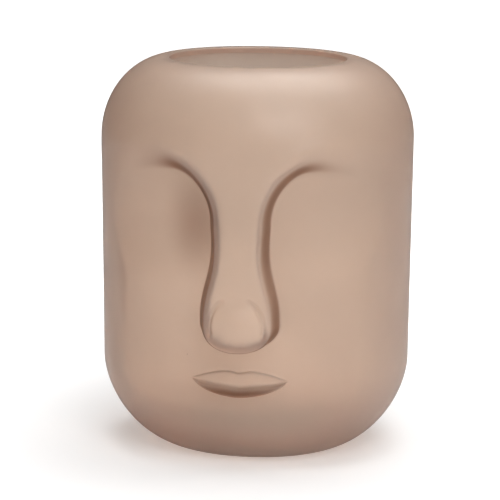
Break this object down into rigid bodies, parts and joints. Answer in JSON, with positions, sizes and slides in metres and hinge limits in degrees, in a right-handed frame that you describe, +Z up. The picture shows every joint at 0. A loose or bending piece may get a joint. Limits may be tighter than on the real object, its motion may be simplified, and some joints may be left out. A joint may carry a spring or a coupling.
{
  "type": "face vase",
  "caption": "Oval satin glass vase, a rounded barrel open at the top, with a calm long-nosed face pressed into its front.",
  "frame": {"origin": "middle of the flat base, on the surface that the vase stands on", "axes": "+Z up through the mouth, the face looks along -Y, +X towards the viewer's right when the face is seen from the front"},
  "size_m": [0.1794, 0.1641, 0.225],
  "materials": {
    "satin_glass": "translucent taupe glass, etched satin inside and out, rim ground flat"
  },
  "bodies": {
    "root": {"vase_body": "satin_glass"}
  },
  "joints": []
}
